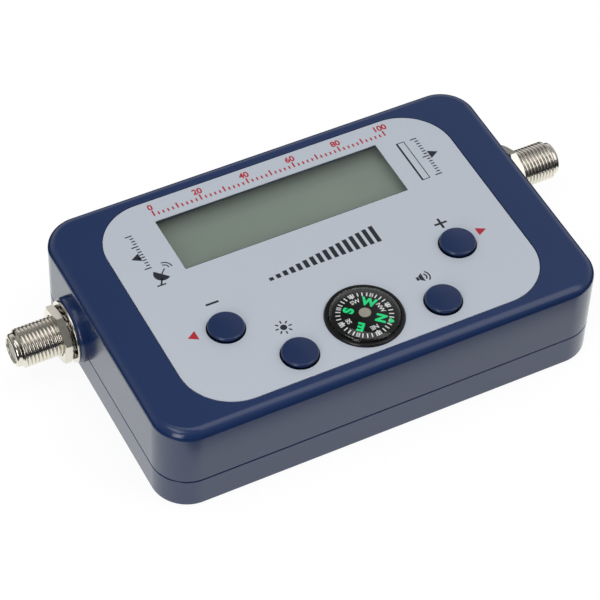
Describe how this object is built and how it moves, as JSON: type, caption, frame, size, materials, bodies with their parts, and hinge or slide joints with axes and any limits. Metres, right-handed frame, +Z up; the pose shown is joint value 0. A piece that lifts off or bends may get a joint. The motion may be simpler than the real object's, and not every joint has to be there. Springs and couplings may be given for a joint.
{
  "type": "satellite signal meter",
  "caption": "Flat hand-held signal meter with a recessed display, round keys, a small compass on its face and a threaded coaxial port at each end.",
  "frame": {"origin": "middle of the flat base of the case", "axes": "+Z up through the face, +Y to the display side, +X towards the port for the receiver"},
  "size_m": [0.1508, 0.0754, 0.0283],
  "materials": {
    "case_plastic": "satin navy moulded plastic",
    "key_plastic": "satin navy moulded plastic",
    "label_film": "printed grey film with a fine grain",
    "clear_plastic": "clear polished plastic",
    "display_glass": "grey-green display behind its polariser",
    "light_guide": "milky light guide",
    "black_steel": "blackened steel sheet",
    "nickel": "bright nickel plate",
    "tinned_steel": "tinned sheet",
    "zinc_steel": "bright zinc plate",
    "brass": "turned brass",
    "white_insulator": "off-white insulating plastic",
    "circuit_board": "green solder mask",
    "black_component": "black moulding",
    "capacitor_can": "bare aluminium can",
    "compass_black": "polished black plastic",
    "compass_card": "black printed card",
    "cap_grey": "warm grey plastic"
  },
  "bodies": {
    "case": {"top_case": "case_plastic", "bottom_case": "case_plastic", "face_label": "label_film", "display_window": "clear_plastic", "display_bezel": "black_steel", "display_glass": "display_glass", "display_backlight": "light_guide", "display_board": "circuit_board", "display_header": "black_component", "main_board": "circuit_board", "processor_chip": "black_component", "tuner_shield": "tinned_steel", "voltage_regulator": "black_component", "clock_crystal": "tinned_steel", "sound_buzzer": "black_component", "capacitor_1": "capacitor_can", "capacitor_2": "capacitor_can", "compass_cup": "compass_black", "compass_pivot": "brass", "compass_dome": "clear_plastic", "step_down_switch": "tinned_steel", "step_up_switch": "tinned_steel", "light_switch": "tinned_steel", "sound_switch": "tinned_steel", "left_port_shell": "nickel", "left_port_insulator": "white_insulator", "left_port_contact": "brass", "left_flat_washer": "nickel", "left_toothed_washer": "zinc_steel", "left_hex_nut": "nickel", "right_port_shell": "nickel", "right_port_insulator": "white_insulator", "right_port_contact": "brass", "right_flat_washer": "nickel", "right_toothed_washer": "zinc_steel", "right_hex_nut": "nickel", "case_screw_1": "zinc_steel", "case_screw_2": "zinc_steel", "case_screw_3": "zinc_steel", "case_screw_4": "zinc_steel", "board_screw_1": "zinc_steel", "board_screw_2": "zinc_steel", "board_screw_3": "zinc_steel", "board_screw_4": "zinc_steel"},
    "step_down_button": {"step_down_key": "key_plastic", "step_down_plunger": "black_component"},
    "step_up_button": {"step_up_key": "key_plastic", "step_up_plunger": "black_component"},
    "light_button": {"light_key": "key_plastic", "light_plunger": "black_component"},
    "sound_button": {"sound_key": "key_plastic", "sound_plunger": "black_component"},
    "compass_rose": {"compass_card": "compass_card", "compass_cap": "cap_grey"}
  },
  "joints": [
    {"name": "step_down_press", "type": "slide", "parent": "case", "child": "step_down_button", "axis": [0, 0, -1], "range_m": [0, 0.0005], "stiffness_N_per_m": 1200},
    {"name": "step_up_press", "type": "slide", "parent": "case", "child": "step_up_button", "axis": [0, 0, -1], "range_m": [0, 0.0005], "stiffness_N_per_m": 1200},
    {"name": "light_press", "type": "slide", "parent": "case", "child": "light_button", "axis": [0, 0, -1], "range_m": [0, 0.0005], "stiffness_N_per_m": 1200},
    {"name": "sound_press", "type": "slide", "parent": "case", "child": "sound_button", "axis": [0, 0, -1], "range_m": [0, 0.0005], "stiffness_N_per_m": 1200},
    {"name": "compass_turn", "type": "hinge", "parent": "case", "child": "compass_rose", "pos_m": [0, -0.0225, 0.0262], "axis": [0, 0, 1], "continuous": true}
  ]
}
